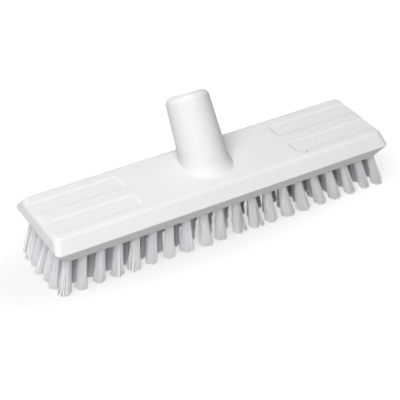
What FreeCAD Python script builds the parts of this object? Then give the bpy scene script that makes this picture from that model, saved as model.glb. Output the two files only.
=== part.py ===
import FreeCAD, Part
import math
import os

# Deck scrub brush head, in millimetres. X runs along the block, +Y to the rear, where the socket leans,
# and +Z up. The origin lies in the plane of the trimmed bristle tips, under the middle of the block.

# Block: its lip is the widest line, the sides slope in above it and are undercut below it
block_length = 305.0
block_width = 80.0
block_thickness = 20.0
lip_rise = 9.5
lip_corner_radius = 4.0
lip_edge_radius = 0.8
top_side_inset = 8.2
top_end_inset = 2.6
top_corner_radius = 6.5
crease_radius = 5.0
bottom_side_inset = 4.0
bottom_end_inset = 5.3
bottom_corner_radius = 9.0

# Four shallow recesses in the top, in pairs, open at the ends of the block, with soft walls
recess_start = 70.2
recess_width = 20.4
recess_rib = 8.8
recess_rib_offset = 1.2
recess_depth = 0.75
recess_wall_run = 4.0
recess_wall_shares = (0.0, 0.25, 0.5, 0.75, 1.0)
recess_floor_radius = 1.0

# Small round mark in front of the right front recess, where the plastic was let into the mould
mark_from_middle = 78.5
mark_from_centreline = 27.0
mark_diameter = 2.2
mark_depth = 1.6

# Handle socket: a tapered barrel that leans to the rear, measured from the top of the block along its axis
socket_lean_degrees = 31.5
socket_offset = 5.1
socket_length = 56.0
socket_mouth_diameter = 36.0
socket_draft_degrees = 2.0
socket_rim_radius = 5.5

# Flared foot of the socket: how far it spreads on the top of the block, and how high it reaches
foot_height = 9.0
foot_front_spread = 6.0
foot_side_spread = 1.6
foot_rear_spread = 1.2
foot_height_shares = (0.0, 0.02, 0.07, 0.17, 0.33, 0.53, 0.76, 1.0)

# Threaded blind hole for the handle: core wall, helical groove and the plain entry that leads to them
thread_core_diameter = 19.0
thread_pitch = 5.0
thread_groove_depth = 1.2
thread_groove_width = 2.4
thread_root_width = 1.2
thread_runout = 4.0
socket_hole_depth = 48.0
entry_depth = 10.0
entry_clearance = 0.3
entry_chamfer = 0.8

# Bristle tufts: visible length, holes in the bottom of the block and the spread of the trimmed tips
bristle_length = 30.0
row_count = 7
tufts_per_odd_row = 20
tufts_per_even_row = 21
sections_per_row = 4
hole_diameter = 7.4
hole_depth = 13.0
hole_end_margin = 5.0
hole_side_margin = 5.8
corner_setback = 1.8
tuft_clearance = 0.15
tuft_tip_diameter = 9.6
tip_end_splay = 7.7
tip_front_splay = 3.4
tip_rear_splay = 0.4

# Anchors: flat wire across each hole, with its ends bitten into the wall
anchor_thickness = 0.4
anchor_height = 3.2
anchor_bite = 0.5
fold_thickness = 1.2

# How far a cutting tool runs past the face that it cuts, and how closely edges are matched by their height
cut_overrun = 2.0
height_match = 0.001

vector = FreeCAD.Vector
up = vector(0, 0, 1)

bottom_z = bristle_length
lip_z = bottom_z + lip_rise
top_z = bottom_z + block_thickness
half_length = block_length / 2
half_width = block_width / 2
bottom_half_length = half_length - bottom_end_inset
bottom_half_width = half_width - bottom_side_inset


def quarter_arc(centre, radius, quarter):
    """Quarter circle, counterclockwise, that starts at the given number of quarter turns."""
    angles = [(quarter + half) * math.pi / 2 for half in (0, 0.5, 1)]
    points = [centre + vector(math.cos(angle), math.sin(angle), 0) * radius for angle in angles]
    return Part.Arc(*points).toShape()


def rounded_rectangle(half_x, half_y, radius, z):
    """Level outline of four lines and four quarter arcs about the Z axis."""
    signs = ((1, 1), (-1, 1), (-1, -1), (1, -1))
    arcs = []
    for quarter, (sign_x, sign_y) in enumerate(signs):
        centre = vector(sign_x * (half_x - radius), sign_y * (half_y - radius), z)
        arcs.append(quarter_arc(centre, radius, quarter))
    edges = []
    for arc, following in zip(arcs, arcs[1:] + arcs[:1]):
        edges.append(arc)
        edges.append(Part.makeLine(arc.Vertexes[-1].Point, following.Vertexes[0].Point))
    return Part.Wire(edges)


def level_edges(shape, z):
    """Edges of a shape that lie level at the height z."""
    return [
        edge
        for edge in shape.Edges
        if abs(edge.BoundBox.ZMin - z) < height_match and abs(edge.BoundBox.ZMax - z) < height_match
    ]


def plain_block():
    """The block under its socket: undercut base, lip, sloping sides and rounded crease."""
    outlines = [
        rounded_rectangle(bottom_half_length, bottom_half_width, bottom_corner_radius, bottom_z),
        rounded_rectangle(half_length, half_width, lip_corner_radius, lip_z),
        rounded_rectangle(half_length - top_end_inset, half_width - top_side_inset, top_corner_radius, top_z),
    ]
    block = Part.makeLoft(outlines, True, True)
    block = block.makeFillet(crease_radius, level_edges(block, top_z))
    return block.makeFillet(lip_edge_radius, level_edges(block, lip_z))


def recess_outline(inset, z):
    """Outline of the rear right recess, drawn in on all sides but the open end."""
    radius = recess_floor_radius + recess_wall_run - inset
    inner = recess_start + inset
    outer = half_length + cut_overrun
    low = recess_rib / 2 - recess_rib_offset + inset
    high = recess_rib / 2 - recess_rib_offset + recess_width - inset
    rear_arc = quarter_arc(vector(inner + radius, high - radius, z), radius, 1)
    front_arc = quarter_arc(vector(inner + radius, low + radius, z), radius, 2)
    rear_corner = vector(outer, high, z)
    front_corner = vector(outer, low, z)
    return Part.Wire([
        Part.makeLine(front_corner, rear_corner),
        Part.makeLine(rear_corner, rear_arc.Vertexes[0].Point),
        rear_arc,
        Part.makeLine(rear_arc.Vertexes[-1].Point, front_arc.Vertexes[0].Point),
        front_arc,
        Part.makeLine(front_arc.Vertexes[-1].Point, front_corner),
    ])


def recess_tools():
    """Four tools whose walls sink in a soft wave, mirrored about the rib and the middle of the block."""
    outlines = [recess_outline(0, top_z + cut_overrun)]
    for share in recess_wall_shares:
        sunk = recess_depth * (1 - math.cos(math.pi * share)) / 2
        outlines.append(recess_outline(recess_wall_run * share, top_z - sunk))
    rear_right = Part.makeLoft(outlines, True, True)
    front_right = rear_right.mirror(vector(0, -recess_rib_offset, 0), vector(0, 1, 0))
    right = [rear_right, front_right]
    return right + [tool.mirror(vector(0, 0, 0), vector(1, 0, 0)) for tool in right]


def mark_tool():
    """Short cylinder that sinks the mark of the mould into the top."""
    bottom = vector(mark_from_middle, -mark_from_centreline, top_z - mark_depth)
    return Part.makeCylinder(mark_diameter / 2, mark_depth + cut_overrun, bottom)


lean = math.radians(socket_lean_degrees)
draft = math.tan(math.radians(socket_draft_degrees))
socket_axis = vector(0, math.sin(lean), math.cos(lean))
socket_base = vector(0, socket_offset, top_z)
socket_mouth = socket_base + socket_axis * socket_length
mouth_radius = socket_mouth_diameter / 2
foot_radius = mouth_radius + socket_length * draft


def barrel_section(z):
    """Front and rear Y and half width of the tapered barrel where a level plane cuts it."""
    height = z - top_z
    front_way = (height - foot_radius * math.sin(lean)) / (math.cos(lean) - draft * math.sin(lean))
    rear_way = (height + foot_radius * math.sin(lean)) / (math.cos(lean) + draft * math.sin(lean))
    front_radius = foot_radius - front_way * draft
    rear_radius = foot_radius - rear_way * draft
    front_y = socket_offset + front_way * math.sin(lean) - front_radius * math.cos(lean)
    rear_y = socket_offset + rear_way * math.sin(lean) + rear_radius * math.cos(lean)
    return front_y, rear_y, math.sqrt(front_radius * rear_radius)


def foot_flare_share(height_share):
    """Quarter ellipse that runs from level at the top of the block to upright at the top of the foot."""
    return 1 - math.sqrt(1 - (1 - height_share) ** 2)


def foot_outline(height_share):
    """Level ellipse of the foot: the section of the barrel, spread by the flare."""
    z = top_z + foot_height * height_share
    front_y, rear_y, half_x = barrel_section(z)
    flare = foot_flare_share(height_share)
    front_y = front_y - foot_front_spread * flare
    rear_y = rear_y + foot_rear_spread * flare
    half_x = half_x + foot_side_spread * flare
    half_y = (rear_y - front_y) / 2
    stretch = FreeCAD.Matrix()
    stretch.scale(1, half_y / half_x, 1)
    stretch.move(vector(0, rear_y - half_y, z))
    quarters = [quarter_arc(vector(0, 0, 0), half_x, quarter) for quarter in range(4)]
    return Part.Wire([arc.transformGeometry(stretch) for arc in quarters])


def socket_solid():
    """Barrel with a rounded rim on its flared foot, which meets the top of the block face to face."""
    sunk = mouth_radius
    low_radius = foot_radius + sunk * draft
    barrel = Part.makeCone(
        low_radius, mouth_radius, sunk + socket_length, socket_base - socket_axis * sunk, socket_axis
    )
    rim = [edge for edge in barrel.Edges if edge.BoundBox.Center.distanceToPoint(socket_mouth) < height_match]
    barrel = barrel.makeFillet(socket_rim_radius, rim)
    below_corner = vector(-block_width, -block_width, top_z + foot_height - block_width)
    below = Part.makeBox(2 * block_width, 2 * block_width, block_width, below_corner)
    foot = Part.makeLoft([foot_outline(share) for share in foot_height_shares], True)
    return foot.fuse(barrel.cut(below))


def socket_hole_tool():
    """Blind hole with a chamfered plain entry and a helical groove below it, to be cut from the socket."""
    core_radius = thread_core_diameter / 2
    entry_radius = core_radius + thread_groove_depth + entry_clearance
    outside = socket_mouth + socket_axis * cut_overrun
    core = Part.makeCylinder(core_radius, socket_hole_depth + cut_overrun, outside, -socket_axis)
    entry = Part.makeCylinder(entry_radius, entry_depth + cut_overrun, outside, -socket_axis)
    lead = entry_chamfer + cut_overrun
    chamfer = Part.makeCone(entry_radius + lead, entry_radius, lead, outside, -socket_axis)
    return core.fuse([entry, chamfer, thread_groove(core_radius)])


def thread_groove(core_radius):
    """Helical groove of one start that runs out into the plain entry."""
    length = socket_hole_depth - thread_runout - entry_depth + thread_pitch
    helix = Part.makeHelix(thread_pitch, length, core_radius)
    inner = core_radius - thread_groove_depth
    outer = core_radius + thread_groove_depth
    corners = [
        vector(inner, 0, -thread_groove_width / 2),
        vector(inner, 0, thread_groove_width / 2),
        vector(outer, 0, thread_root_width / 2),
        vector(outer, 0, -thread_root_width / 2),
    ]
    profile = Part.makePolygon(corners + corners[:1])
    groove = Part.Wire(helix.Edges).makePipeShell([profile], True, True)
    start = socket_mouth - socket_axis * (socket_hole_depth - thread_runout)
    groove.Placement = FreeCAD.Placement(start, FreeCAD.Rotation(up, socket_axis))
    return groove


hole_radius = hole_diameter / 2
root_radius = hole_radius - tuft_clearance
tip_radius = tuft_tip_diameter / 2
anchor_width = hole_diameter + 2 * anchor_bite
anchor_low = hole_depth - fold_thickness - anchor_height


def anchor_plate(width):
    """Flat wire across a hole whose mouth is at the origin and which runs up along Z."""
    corner = vector(-width / 2, -anchor_thickness / 2, anchor_low)
    return Part.makeBox(width, anchor_thickness, anchor_height, corner)


def hole_tool():
    """Drilled hole with the two notches that the ends of its anchor bite into the wall."""
    drill = Part.makeCylinder(hole_radius, hole_depth + hole_radius, vector(0, 0, -hole_radius))
    return drill.fuse(anchor_plate(anchor_width))


def long_tuft():
    """Tuft folded over its anchor in the hole, flaring below the mouth, before its tip is trimmed."""
    reach = math.hypot(bristle_length, tip_end_splay, tip_front_splay) + tip_radius
    end_radius = root_radius + (tip_radius - root_radius) * reach / bristle_length
    root = Part.makeCylinder(root_radius, hole_depth - tuft_clearance)
    flare = Part.makeCone(root_radius, end_radius, reach, vector(0, 0, 0), -up)
    return root.fuse(flare).cut(anchor_plate(hole_diameter))


def hole_places():
    """Row, section and placement of every hole, in rows of two counts in turn, fanned out."""
    root_x = bottom_half_length - hole_end_margin
    root_y = bottom_half_width - hole_side_margin
    places = []
    for row in range(row_count):
        count = tufts_per_even_row if row % 2 else tufts_per_odd_row
        across = 2 * row / (row_count - 1) - 1
        tip_y = across * (root_y + (tip_rear_splay if across > 0 else tip_front_splay))
        for index in range(count):
            along = 2 * index / (count - 1) - 1
            at_corner = row in (0, row_count - 1) and index in (0, count - 1)
            reach_x = root_x - corner_setback if at_corner else root_x
            root = vector(along * reach_x, across * root_y, bottom_z)
            tip = vector(along * (reach_x + tip_end_splay), tip_y, 0)
            section = index * sections_per_row // count
            places.append((row, section, FreeCAD.Placement(root, FreeCAD.Rotation(up, root - tip))))
    return places


def placed(shape, place):
    """Copy of a shape at a placement."""
    copy = shape.copy()
    copy.Placement = place
    return copy


places = hole_places()
hole = hole_tool()
tuft = long_tuft()
anchor = anchor_plate(anchor_width)
floor_corner = vector(-block_length, -block_length, -block_length)
below_tips = Part.makeBox(2 * block_length, 2 * block_length, block_length, floor_corner)

brush_block = plain_block().cut(recess_tools() + [mark_tool()])
brush_block = brush_block.cut([placed(hole, place) for row, section, place in places])
handle_socket = socket_solid().cut(socket_hole_tool())

nodes = {"brush_block": [brush_block], "handle_socket": [handle_socket]}
for row, section, place in places:
    ending = f"row_{row + 1}_section_{section + 1}"
    nodes.setdefault(f"tufts_{ending}", []).append(placed(tuft, place).cut(below_tips))
    nodes.setdefault(f"anchors_{ending}", []).append(placed(anchor, place))

os.makedirs("parts", exist_ok=True)
for name, shapes in nodes.items():
    node = Part.makeCompound(shapes)
    node.exportStep(f"parts/{name}.step")
    state = "valid" if node.isValid() else "NOT valid"
    print(name, len(node.Solids), "solids,", state, f"{node.Volume:.1f} mm3")
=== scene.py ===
# %% [markdown]
# # A white deck scrub brush
# This lesson dresses a scrub brush head for its picture. The solid model is loaded first as a fixed frame:
# the moulded block, the leaning handle socket, plain tapered tufts and the wire anchors inside. The block
# and the socket already have their true shape, so they only need a finish. The tufts are plain stand-ins,
# so each one becomes a bundle of separate filaments. Everything is in metres, with the bristle tips on the
# floor at Z = 0 and the socket leaning to +Y.

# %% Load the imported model
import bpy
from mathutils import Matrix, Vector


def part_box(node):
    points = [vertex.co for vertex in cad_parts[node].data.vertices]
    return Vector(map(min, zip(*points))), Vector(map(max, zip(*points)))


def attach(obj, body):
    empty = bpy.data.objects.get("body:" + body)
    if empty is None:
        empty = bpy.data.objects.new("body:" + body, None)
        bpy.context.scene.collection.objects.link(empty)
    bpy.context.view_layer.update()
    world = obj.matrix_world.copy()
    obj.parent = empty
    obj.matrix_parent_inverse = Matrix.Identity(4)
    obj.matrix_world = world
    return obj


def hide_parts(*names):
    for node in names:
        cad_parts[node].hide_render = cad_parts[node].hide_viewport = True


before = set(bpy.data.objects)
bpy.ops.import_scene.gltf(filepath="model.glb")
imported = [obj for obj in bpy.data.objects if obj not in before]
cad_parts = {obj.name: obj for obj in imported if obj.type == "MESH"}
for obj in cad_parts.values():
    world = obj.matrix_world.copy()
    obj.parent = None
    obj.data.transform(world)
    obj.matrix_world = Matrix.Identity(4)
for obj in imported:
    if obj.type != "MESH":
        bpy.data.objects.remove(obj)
print(len(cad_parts), "nodes of the solid model")

# %% Bring in the tools for the rest of the script and update the scene
import math
import random

import bpy
import numpy as np
from mathutils import Matrix, Quaternion, Vector

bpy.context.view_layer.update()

# %% [markdown]
# ## A shared effect: faint mottling
# No moulded or drawn plastic is one even colour. Flow in the mould, small differences in gloss and the fine
# spark grain of the tool all show when light runs along a surface. A picture could be painted for this, but
# a node group works on any piece and at any scale, so it is built once here. It takes a position and puts
# out three things that change over the surface: a tone to blend with, a roughness, and a height for a bump.

# %% Build the mottling group
broad_detail = 3.0
grain_detail = 2.0
grain_share = 0.4
noise_low = 0.3
noise_high = 0.7


def add_node(tree, kind, place, **settings):
    """Add a node at a place in the editor and set its properties."""
    node = tree.nodes.new(kind)
    node.location = place
    for name, value in settings.items():
        setattr(node, name, value)
    return node


mottling = bpy.data.node_groups.new("plastic_mottling", "ShaderNodeTree")
mottling.interface.new_socket("Position", in_out="INPUT", socket_type="NodeSocketVector")
for name in ("Broad Scale", "Grain Scale", "Smoothest", "Roughest"):
    mottling.interface.new_socket(name, in_out="INPUT", socket_type="NodeSocketFloat")
for name in ("Tone", "Roughness", "Height"):
    mottling.interface.new_socket(name, in_out="OUTPUT", socket_type="NodeSocketFloat")

group_in = add_node(mottling, "NodeGroupInput", (-800, 0))
group_out = add_node(mottling, "NodeGroupOutput", (500, 0))
broad = add_node(mottling, "ShaderNodeTexNoise", (-550, 200))
grain = add_node(mottling, "ShaderNodeTexNoise", (-550, -200))
for noise, scale, detail in ((broad, "Broad Scale", broad_detail), (grain, "Grain Scale", grain_detail)):
    noise.inputs["Detail"].default_value = detail
    mottling.links.new(group_in.outputs["Position"], noise.inputs["Vector"])
    mottling.links.new(group_in.outputs[scale], noise.inputs["Scale"])
broad_part = add_node(mottling, "ShaderNodeMath", (-300, 100), operation="MULTIPLY")
broad_part.inputs[1].default_value = 1.0 - grain_share
both_parts = add_node(mottling, "ShaderNodeMath", (-50, 0), operation="MULTIPLY_ADD")
both_parts.inputs[1].default_value = grain_share
rough_range = add_node(mottling, "ShaderNodeMapRange", (200, 0))
rough_range.inputs["From Min"].default_value = noise_low
rough_range.inputs["From Max"].default_value = noise_high
for source, target in (
    (broad.outputs["Fac"], broad_part.inputs[0]),
    (grain.outputs["Fac"], both_parts.inputs[0]),
    (broad_part.outputs[0], both_parts.inputs[2]),
    (both_parts.outputs[0], rough_range.inputs["Value"]),
    (group_in.outputs["Smoothest"], rough_range.inputs["To Min"]),
    (group_in.outputs["Roughest"], rough_range.inputs["To Max"]),
    (broad.outputs["Fac"], group_out.inputs["Tone"]),
    (rough_range.outputs["Result"], group_out.inputs["Roughness"]),
    (grain.outputs["Fac"], group_out.inputs["Height"]),
):
    mottling.links.new(source, target)
print("mottling group:", len(mottling.nodes), "nodes")

# %% [markdown]
# ## The moulded block
# The block and its socket are white polypropylene with a satin moulded skin. The colour is almost even, so
# the tone only moves it between two close whites, and the light does the rest. The grain of the mould is a
# very low bump. The steps that the later finishes share with this one are small functions.

# %% Give the block and the socket their white moulded skin
skin_shade = (0.645, 0.632, 0.638)
skin_white = (0.675, 0.661, 0.667)
skin_gloss = 0.2


def start_material(name):
    """A new material with its Principled shader and the object's own coordinates."""
    material = bpy.data.materials.new(name)
    material.use_nodes = True
    tree = material.node_tree
    shader = tree.nodes["Principled BSDF"]
    shader.location = (600, 0)
    place = add_node(tree, "ShaderNodeTexCoord", (-900, 0))
    return material, tree, shader, place.outputs["Object"]


def add_mottling(tree, position, broad_scale, grain_scale, smoothest, roughest):
    """Place the shared group in a material with that material's own values."""
    node = add_node(tree, "ShaderNodeGroup", (-600, 0), node_tree=mottling)
    tree.links.new(position, node.inputs["Position"])
    node.inputs["Broad Scale"].default_value = broad_scale
    node.inputs["Grain Scale"].default_value = grain_scale
    node.inputs["Smoothest"].default_value = smoothest
    node.inputs["Roughest"].default_value = roughest
    return node


def add_colour_blend(tree, factor, low, high, place):
    """A colour that moves between two shades with a factor."""
    node = add_node(tree, "ShaderNodeMix", place, data_type="RGBA")
    node.inputs["A"].default_value = (*low, 1.0)
    node.inputs["B"].default_value = (*high, 1.0)
    tree.links.new(factor, node.inputs["Factor"])
    return node.outputs["Result"]


def add_bump(tree, height, strength, distance, place):
    """A bump from a height, for a shader's Normal."""
    node = add_node(tree, "ShaderNodeBump", place)
    node.inputs["Strength"].default_value = strength
    node.inputs["Distance"].default_value = distance
    tree.links.new(height, node.inputs["Height"])
    return node.outputs["Normal"]


def dress(node, material):
    """Give a solid a new finish in place of its plain one."""
    node.data.materials.clear()
    node.data.materials.append(material)


block_skin, tree, shader, position = start_material("white_moulded_skin")
moulded = add_mottling(tree, position, broad_scale=28.0, grain_scale=900.0, smoothest=0.50, roughest=0.62)
white = add_colour_blend(tree, moulded.outputs["Tone"], skin_shade, skin_white, place=(100, 200))
grained = add_bump(tree, moulded.outputs["Height"], strength=0.12, distance=0.0002, place=(300, -250))
tree.links.new(white, shader.inputs["Base Color"])
tree.links.new(moulded.outputs["Roughness"], shader.inputs["Roughness"])
tree.links.new(grained, shader.inputs["Normal"])
shader.inputs["Specular IOR Level"].default_value = skin_gloss

for name in ("brush_block", "handle_socket"):
    dress(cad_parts[name], block_skin)
    print(name, len(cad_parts[name].data.polygons), "faces in the white skin")

# %% [markdown]
# ## The wire anchors
# Each tuft is folded over a short piece of flat stainless wire at the bottom of its hole. Nobody sees them in
# the finished brush, but the parts are there, so they get a drawn steel finish: bare metal, with the same
# mottling at a finer scale for the marks that drawing leaves.

# %% Give the anchors a drawn steel finish
steel_shade = (0.52, 0.52, 0.53)
steel_bright = (0.62, 0.62, 0.63)

anchor_steel, tree, shader, position = start_material("drawn_anchor_steel")
drawn = add_mottling(tree, position, broad_scale=90.0, grain_scale=2500.0, smoothest=0.28, roughest=0.42)
steel = add_colour_blend(tree, drawn.outputs["Tone"], steel_shade, steel_bright, place=(100, 200))
marked = add_bump(tree, drawn.outputs["Height"], strength=0.1, distance=0.0001, place=(300, -250))
tree.links.new(steel, shader.inputs["Base Color"])
tree.links.new(drawn.outputs["Roughness"], shader.inputs["Roughness"])
tree.links.new(marked, shader.inputs["Normal"])
shader.inputs["Metallic"].default_value = 1.0

anchor_nodes = [node for name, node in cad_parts.items() if name.startswith("anchors_")]
for node in anchor_nodes:
    dress(node, anchor_steel)
print(len(anchor_nodes), "groups of anchors in steel")

# %% [markdown]
# ## The bristle finish
# The filaments are drawn polyester, a little cooler in colour than the block and slightly glossy along their
# length. No two are quite alike, so each filament carries its own tone as an attribute of its points. The cut
# ends are scuffed: near the floor all colours run into one white, and the gloss goes.

# %% Make the bristle material
bristle_shade = (0.823, 0.815, 0.825)
bristle_white = (0.882, 0.868, 0.908)
scuffed_white = (0.86, 0.853, 0.872)
scuffed_height = 0.0035
scuffed_dulling = 0.25

bristle_skin, tree, shader, position = start_material("drawn_white_bristle")
drawn = add_mottling(tree, position, broad_scale=160.0, grain_scale=1400.0, smoothest=0.30, roughest=0.44)
tone = add_node(tree, "ShaderNodeAttribute", (-600, 350), attribute_name="strand_tone")
strand_white = add_colour_blend(tree, tone.outputs["Fac"], bristle_shade, bristle_white, place=(-250, 300))
height = add_node(tree, "ShaderNodeSeparateXYZ", (-600, -350))
tree.links.new(position, height.inputs["Vector"])
scuff = add_node(tree, "ShaderNodeMapRange", (-350, -350))
scuff.inputs["From Min"].default_value = scuffed_height
scuff.inputs["From Max"].default_value = 0.0
tree.links.new(height.outputs["Z"], scuff.inputs["Value"])
tip_white = add_node(tree, "ShaderNodeMix", (100, 300), data_type="RGBA")
tip_white.inputs["B"].default_value = (*scuffed_white, 1.0)
tree.links.new(scuff.outputs["Result"], tip_white.inputs["Factor"])
tree.links.new(strand_white, tip_white.inputs["A"])
tree.links.new(tip_white.outputs["Result"], shader.inputs["Base Color"])
dulled = add_node(tree, "ShaderNodeMath", (100, 0), operation="MULTIPLY_ADD")
dulled.inputs[1].default_value = scuffed_dulling
tree.links.new(scuff.outputs["Result"], dulled.inputs[0])
tree.links.new(drawn.outputs["Roughness"], dulled.inputs[2])
tree.links.new(dulled.outputs[0], shader.inputs["Roughness"])
print("bristle material:", len(tree.nodes), "nodes")

# %% [markdown]
# ## One filament
# A filament is a thin round rod that starts in the hole and ends at the cut tip. A curve with a bevel would
# do for one, but there are thousands, so it is modelled as a low mesh: a four-sided disc is extruded down in
# a few steps, shorter towards the cut, where the tuft opens fastest, and the last ring is drawn in a little
# to round the cut end. The mouth of the hole is at Z = 0 while it is modelled. The free length is the height
# of the block's underside, which the frame gives.

# %% Model the filament
bristle_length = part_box("brush_block")[0].z
strand_sides = 4
strand_radius = 0.00023
strand_start = 0.003
strand_step_parts = (10, 30, 30, 25, 14, 1)
cut_end_share = 0.7
smooth_angle = math.radians(100)

bpy.ops.object.select_all(action="DESELECT")
bpy.ops.mesh.primitive_circle_add(
    vertices=strand_sides, radius=strand_radius, fill_type="NGON", location=(0, 0, strand_start)
)
strand = bpy.context.object
strand.name = "strand_pattern"
bpy.ops.object.transform_apply(location=True, rotation=True, scale=True)
bpy.ops.object.mode_set(mode="EDIT")
bpy.ops.mesh.select_all(action="SELECT")
for part in strand_step_parts:
    step = (strand_start + bristle_length) * part / sum(strand_step_parts)
    bpy.ops.mesh.extrude_region_move(TRANSFORM_OT_translate={"value": (0, 0, -step)})
bpy.ops.transform.resize(value=(cut_end_share, cut_end_share, 1))
bpy.ops.mesh.select_all(action="SELECT")
bpy.ops.mesh.normals_make_consistent(inside=False)
bpy.ops.object.mode_set(mode="OBJECT")
bpy.ops.object.shade_smooth_by_angle(angle=smooth_angle)
strand.data.materials.append(bristle_skin)
print("filament:", len(strand.data.vertices), "points,", len(strand.data.polygons), "faces")

# %% [markdown]
# ## A few different tufts
# A hole is packed with filaments side by side, which is a honeycomb seen from below. Below the mouth they are
# free and fan out. They don't fan evenly: neighbours cling together in clumps, some bow a little, and here
# and there one strays. Copies of the filament are moved to their places in the honeycomb and bent, and each
# finished bundle is joined. A few different bundles are enough, because they are turned when they are
# planted. Two more have a side that splits off, as the tufts of a used brush do.

# %% Lay out the honeycomb
rings_of_strands = 8
edge_room = 0.2


def honeycomb(rings):
    """Points of a honeycomb within a circle of radius 1, line by line."""
    points = []
    for across in range(-rings, rings + 1):
        for along in range(-rings, rings + 1):
            point = Vector((across + along / 2, along * math.sqrt(3) / 2))
            if point.length <= rings + edge_room:
                points.append(point / (rings + edge_room))
    return points


strand_places = honeycomb(rings_of_strands)
print(len(strand_places), "filaments to a hole")

# %% Bend a copy of the filament
opening_power = 1.5
trim_power = 4


def copied(pattern):
    """A copy of an object with a mesh of its own."""
    copy = pattern.copy()
    copy.data = pattern.data.copy()
    bpy.context.collection.objects.link(copy)
    return copy


def read_points(mesh):
    """The points of a mesh as an array."""
    points = np.empty(len(mesh.vertices) * 3)
    mesh.vertices.foreach_get("co", points)
    return points.reshape(-1, 3)


def share_down(points):
    """How far down each point is: 0 inside the hole and at its mouth, 1 at the cut."""
    return np.clip(-points[:, 2] / bristle_length, 0.0, 1.0)


def bent_strand(root, tip, bow, shortened, tone):
    """A copy of the filament that runs from its place in the hole to its place at the tip."""
    copy = copied(strand)
    points = read_points(copy.data)
    down = share_down(points)
    opened = down**opening_power
    for axis in (0, 1):
        points[:, axis] += root[axis] + (tip[axis] - root[axis]) * opened + bow[axis] * np.sin(math.pi * down)
    points[:, 2] += shortened * down**trim_power
    copy.data.vertices.foreach_set("co", points.ravel())
    tones = copy.data.attributes.new("strand_tone", "FLOAT", "POINT")
    tones.data.foreach_set("value", np.full(len(points), tone))
    return copy


print(np.count_nonzero(share_down(read_points(strand.data))), "points of a filament are free to bend")

# %% Join bent filaments into bundles
tuft_patterns = 10
root_radius = 0.0034
tip_radius = 0.0048
clumps = 16
clump_reach = 0.7
cling_range = (0.02, 0.16)
tuft_lean = 0.0002
tip_scatter = 0.00010
bow_scatter = 0.00007
trim_scatter = 0.0005
stray_share = 0.04
stray_range = (0.0006, 0.0020)
split_range = (0.5, 1.3)
tone_range = (0.1, 0.9)
random.seed(7)


def scatter(amount):
    """A small random step sideways."""
    return Vector((random.gauss(0, amount), random.gauss(0, amount)))


def clump_centre():
    """A random place within the tuft that filaments near it cling to."""
    return Vector((random.uniform(-clump_reach, clump_reach), random.uniform(-clump_reach, clump_reach)))


def joined(objects, name):
    """Join objects into one mesh with a name."""
    bpy.ops.object.select_all(action="DESELECT")
    for piece in objects:
        piece.select_set(True)
    bpy.context.view_layer.objects.active = objects[0]
    bpy.ops.object.join()
    whole = bpy.context.object
    whole.name = name
    whole.data.name = name
    return whole


def tuft_bundle(name, split_from=math.inf, split_gap=0.0):
    """A bundle of bent filaments below a hole at the origin. Those past a share of its +X side split off."""
    centres = [clump_centre() for clump in range(clumps)]
    lean = scatter(tuft_lean)
    strands = []
    for place in strand_places:
        centre = min(centres, key=lambda point: (point - place).length)
        cling = random.uniform(*cling_range)
        tip = place.lerp(centre, cling) * tip_radius + lean
        tip += scatter(tip_scatter)
        if place.x > split_from:
            tip.x += split_gap * random.uniform(*split_range)
        elif place.length and random.random() < stray_share:
            tip += place.normalized() * random.uniform(*stray_range)
        bow = scatter(bow_scatter)
        shortened = abs(random.gauss(0, trim_scatter))
        tone = random.uniform(*tone_range)
        strands.append(bent_strand(place * root_radius, tip, bow, shortened, tone))
    return joined(strands, name)


patterns = [tuft_bundle(f"tuft_pattern_{number + 1}") for number in range(tuft_patterns)]
split_wide = tuft_bundle("tuft_split_wide", split_from=0.68, split_gap=0.0028)
split_little = tuft_bundle("tuft_split_little", split_from=0.45, split_gap=0.0008)
print(len(patterns), "whole tufts and 2 split ones, each with", len(split_wide.data.polygons), "faces")

# %% [markdown]
# ## Planting the rows
# The holes stand in seven rows of twenty and twenty-one in turn. The outer tufts lean outwards, so the tips
# cover more floor than the roots. A turned copy would lift one side of the cut, so each copy is slid sideways
# as it goes down, and its tips stay level with the floor. The tufts of a section of a row are joined, and
# stand for that section's solids. The front row shows most and looks the most used: some of its tufts are
# pressed wide, four are split, and most lean a little along the row. At the ends of the other rows the tufts
# are opened a little more, so that the ends look closed.

# %% Say how a tuft is planted
root_half = Vector((0.1422, 0.0302))
end_splay = 0.0077
front_splay = 0.0034
rear_splay = 0.0004
corner_setback = 0.0018


def tuft_line(along, across, lean):
    """Where a tuft leaves the block and where it meets the floor, from its shares of the two half sizes."""
    at_corner = abs(along) == 1 and abs(across) == 1
    reach = root_half.x - corner_setback if at_corner else root_half.x
    side_splay = rear_splay if across > 0 else front_splay
    root = Vector((along * reach, across * root_half.y))
    tip = Vector((along * (reach + end_splay) + lean, across * (root_half.y + side_splay)))
    return root, tip


def planted_tuft(pattern, turn, spread, root, tip):
    """A turned copy of a bundle, opened by its spread and slid from its root to its tip."""
    tuft = copied(pattern)
    points = read_points(tuft.data)
    opened = share_down(points) ** opening_power
    points[:, :2] *= (1.0 + (spread - 1.0) * opened)[:, None]
    tuft.data.vertices.foreach_set("co", points.ravel())
    slide = Matrix.Identity(4)
    for axis in (0, 1):
        slide[axis][2] = (root[axis] - tip[axis]) / bristle_length
        slide[axis][3] = root[axis]
    slide[2][3] = bristle_length
    tuft.data.transform(slide @ Matrix.Rotation(turn, 4, "Z"))
    return tuft


def shift_tone(tuft, change):
    """Make all the filaments of a tuft a little lighter or darker."""
    tones = tuft.data.attributes["strand_tone"].data
    values = np.empty(len(tones))
    tones.foreach_get("value", values)
    tones.foreach_set("value", np.clip(values + change, 0.0, 1.0))


corner_root, corner_tip = tuft_line(-1, -1, 0.0)
print("the front left tuft leans out by", round((corner_tip - corner_root).length, 4), "m")

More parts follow.
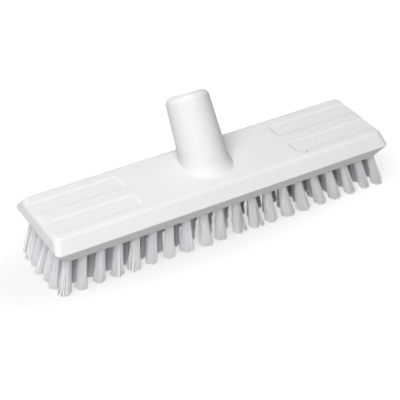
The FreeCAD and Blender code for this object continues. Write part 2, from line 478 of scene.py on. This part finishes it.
# %% Plant the tufts
row_count = 7
row_sizes = (20, 21)
sections = 4
spread_range = (0.97, 1.12)
end_spread = 1.12
tuft_tone_change = 0.15
front_spreads = (
    1.16, 1.08, 1.05, 1.10, 1.14, 1.04, 1.08, 1.32, 1.26, 1.06,
    1.00, 1.03, 1.14, 1.18, 1.20, 1.15, 1.14, 1.08, 1.00, 1.08,
)
front_leans = (
    0.0013, 0.0021, 0.0017, 0.0013, 0.0002, 0.0004, -0.0007, 0.0010, 0.0015, 0.0006,
    0.0014, 0.0014, 0.0021, 0.0017, 0.0020, 0.0026, 0.0017, 0.0020, 0.0015, -0.0006,
)
front_splits = {
    10: (split_wide, math.radians(-20)),
    11: (split_wide, math.radians(-32)),
    12: (split_little, math.radians(215)),
    13: (split_little, math.radians(-15)),
}

planted = 0
for row in range(row_count):
    count = row_sizes[row % 2]
    across = 2 * row / (row_count - 1) - 1
    groups = [[] for section in range(sections)]
    for index in range(count):
        pattern = random.choice(patterns)
        turn = random.uniform(0, 2 * math.pi)
        spread = random.uniform(*spread_range)
        lean = 0.0
        if row == 0:
            pattern, turn = front_splits.get(index, (pattern, turn))
            spread = front_spreads[index]
            lean = front_leans[index]
        elif index in (0, count - 1):
            spread *= end_spread
        root, tip = tuft_line(2 * index / (count - 1) - 1, across, lean)
        tuft = planted_tuft(pattern, turn, spread, root, tip)
        shift_tone(tuft, random.uniform(-tuft_tone_change, tuft_tone_change))
        groups[index * sections // count].append(tuft)
        planted += 1
    for section, tufts in enumerate(groups):
        ending = f"row_{row + 1}_section_{section + 1}"
        piece = joined(tufts, f"bristles_{ending}")
        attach(piece, "root")
        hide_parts(f"tufts_{ending}")
for pattern in patterns + [split_wide, split_little, strand]:
    bpy.data.objects.remove(pattern)
print(planted, "tufts planted")

# %% [markdown]
# ## The floor
# The brush stands on its bristles on a plain pale floor. In a studio such a floor is lit until it is nearly
# white. Strong lamps would do that, but they would burn out the white block, so the floor glows softly
# instead. Close to the brush the glow is dimmer and a little warmer, a painted shadow where its shade lies.
# The camera sees the whole glow, and the brush feels only part of it, because its underside would be too
# light otherwise.

# %% Lay the floor
floor_size = 12.0
floor_grey = (0.20, 0.20, 0.20)
floor_roughness = 0.9
floor_gloss = 0.1
# the shade values below paint a shadow into the floor's glow: dimmer and a little warmer close to the brush
shade_stretch = (0.3, 1.0, 0.0)
shade_shift = (0.01, 0.005, 0.0)
shade_inner = 0.030
shade_outer = 0.090
painted_shadow_glow = (0.64, 0.638, 0.626)
full_glow = (0.86, 0.86, 0.86)
felt_share = 0.52

bpy.ops.object.select_all(action="DESELECT")
bpy.ops.mesh.primitive_plane_add(size=floor_size, location=(0, 0, 0))
floor = bpy.context.object
floor.name = "floor"
floor_paint, tree, shader, position = start_material("pale_floor")
shader.inputs["Base Color"].default_value = (*floor_grey, 1.0)
shader.inputs["Roughness"].default_value = floor_roughness
shader.inputs["Specular IOR Level"].default_value = floor_gloss
stretch = add_node(tree, "ShaderNodeVectorMath", (-650, -300), operation="MULTIPLY_ADD")
stretch.inputs[1].default_value = shade_stretch
stretch.inputs[2].default_value = shade_shift
tree.links.new(position, stretch.inputs[0])
away = add_node(tree, "ShaderNodeVectorMath", (-450, -300), operation="LENGTH")
tree.links.new(stretch.outputs["Vector"], away.inputs[0])
glow = add_node(tree, "ShaderNodeMapRange", (-250, -300), interpolation_type="SMOOTHSTEP")
glow.inputs["From Min"].default_value = shade_inner
glow.inputs["From Max"].default_value = shade_outer
tree.links.new(away.outputs["Value"], glow.inputs["Value"])
# painted shadow: the glow colour runs from the dim warm glow near the brush to the full glow farther out
glow_colour = add_colour_blend(tree, glow.outputs["Result"], painted_shadow_glow, full_glow, place=(-50, -300))
tree.links.new(glow_colour, shader.inputs["Emission Color"])
rays = add_node(tree, "ShaderNodeLightPath", (-250, -550))
felt_glow = add_node(tree, "ShaderNodeMapRange", (-50, -550))
felt_glow.inputs["To Min"].default_value = felt_share
felt_glow.inputs["To Max"].default_value = 1.0
tree.links.new(rays.outputs["Is Camera Ray"], felt_glow.inputs["Value"])
tree.links.new(felt_glow.outputs["Result"], shader.inputs["Emission Strength"])
floor.data.materials.append(floor_paint)
print("floor", floor_size, "m wide")

# %% [markdown]
# ## The light
# A white piece on a white floor is drawn by its shades alone, so the lights are few and differ in strength.
# A large soft one high at the front left shapes the block, a low one at the front left reaches the bristles,
# a weak one fills the right, and another lies low behind, so that the back isn't dull. The sky is dim, and
# the camera sees a pale wall in its place.

# %% Hang the lights
light_aim = Vector((0, 0, 0.03))
pure_white = (1.0, 1.0, 1.0, 1.0)
sky_strength = 0.08


def hang_light(name, place, size, power):
    """A square soft light at a place, turned to the brush."""
    lamp = bpy.data.lights.new(name, "AREA")
    lamp.size = size
    lamp.energy = power
    holder = bpy.data.objects.new(name, lamp)
    bpy.context.collection.objects.link(holder)
    holder.location = place
    holder.rotation_euler = (light_aim - Vector(place)).to_track_quat("-Z", "Y").to_euler()


hang_light("key_light", place=(-0.60, -0.43, 1.56), size=1.35, power=39.1)
hang_light("low_light", place=(-1.05, -1.05, 0.60), size=0.7, power=5.0)
hang_light("fill_light", place=(0.90, -0.30, 1.20), size=1.2, power=1.9)
hang_light("rear_light", place=(0.10, 1.60, 0.22), size=0.35, power=3.6)

world = bpy.data.worlds.new("pale_studio")
bpy.context.scene.world = world
world.use_nodes = True
tree = world.node_tree
dim_sky = tree.nodes["Background"]
dim_sky.inputs["Color"].default_value = pure_white
dim_sky.inputs["Strength"].default_value = sky_strength
pale_wall = add_node(tree, "ShaderNodeBackground", (0, -150))
pale_wall.inputs["Color"].default_value = pure_white
rays = add_node(tree, "ShaderNodeLightPath", (0, 450))
seen_or_felt = add_node(tree, "ShaderNodeMixShader", (250, 150))
tree.links.new(rays.outputs["Is Camera Ray"], seen_or_felt.inputs["Fac"])
tree.links.new(dim_sky.outputs["Background"], seen_or_felt.inputs[1])
tree.links.new(pale_wall.outputs["Background"], seen_or_felt.inputs[2])
tree.links.new(seen_or_felt.outputs["Shader"], tree.nodes["World Output"].inputs["Surface"])
bpy.context.scene.view_settings.view_transform = "Standard"
print(len(bpy.data.lights), "soft lights, a dim sky and a pale wall behind")

# %% [markdown]
# ## The camera
# The brush is seen from above at its front left, through a long lens from about a metre away, so its far end
# is only a little smaller than its near one. A constraint could keep the camera on its aim, but the aim is
# fixed, so the camera is turned to it once and then rolled by about half a degree.

# %% Set the camera
camera_place = Vector((-0.4319, -0.7434, 0.6199))
camera_aim = Vector((-0.00922, -0.00331, 0.01908))
camera_roll = math.radians(-0.57)
lens_millimetres = 114.9
sensor_millimetres = 36.0

camera = bpy.data.objects.new("camera", bpy.data.cameras.new("camera"))
bpy.context.collection.objects.link(camera)
camera.data.lens = lens_millimetres
camera.data.sensor_width = sensor_millimetres
camera.location = camera_place
camera.rotation_mode = "QUATERNION"
looking = (camera_aim - camera_place).to_track_quat("-Z", "Y")
camera.rotation_quaternion = looking @ Quaternion((0, 0, 1), camera_roll)
bpy.context.scene.camera = camera
print("camera", round((camera_aim - camera_place).length, 3), "m from the brush")
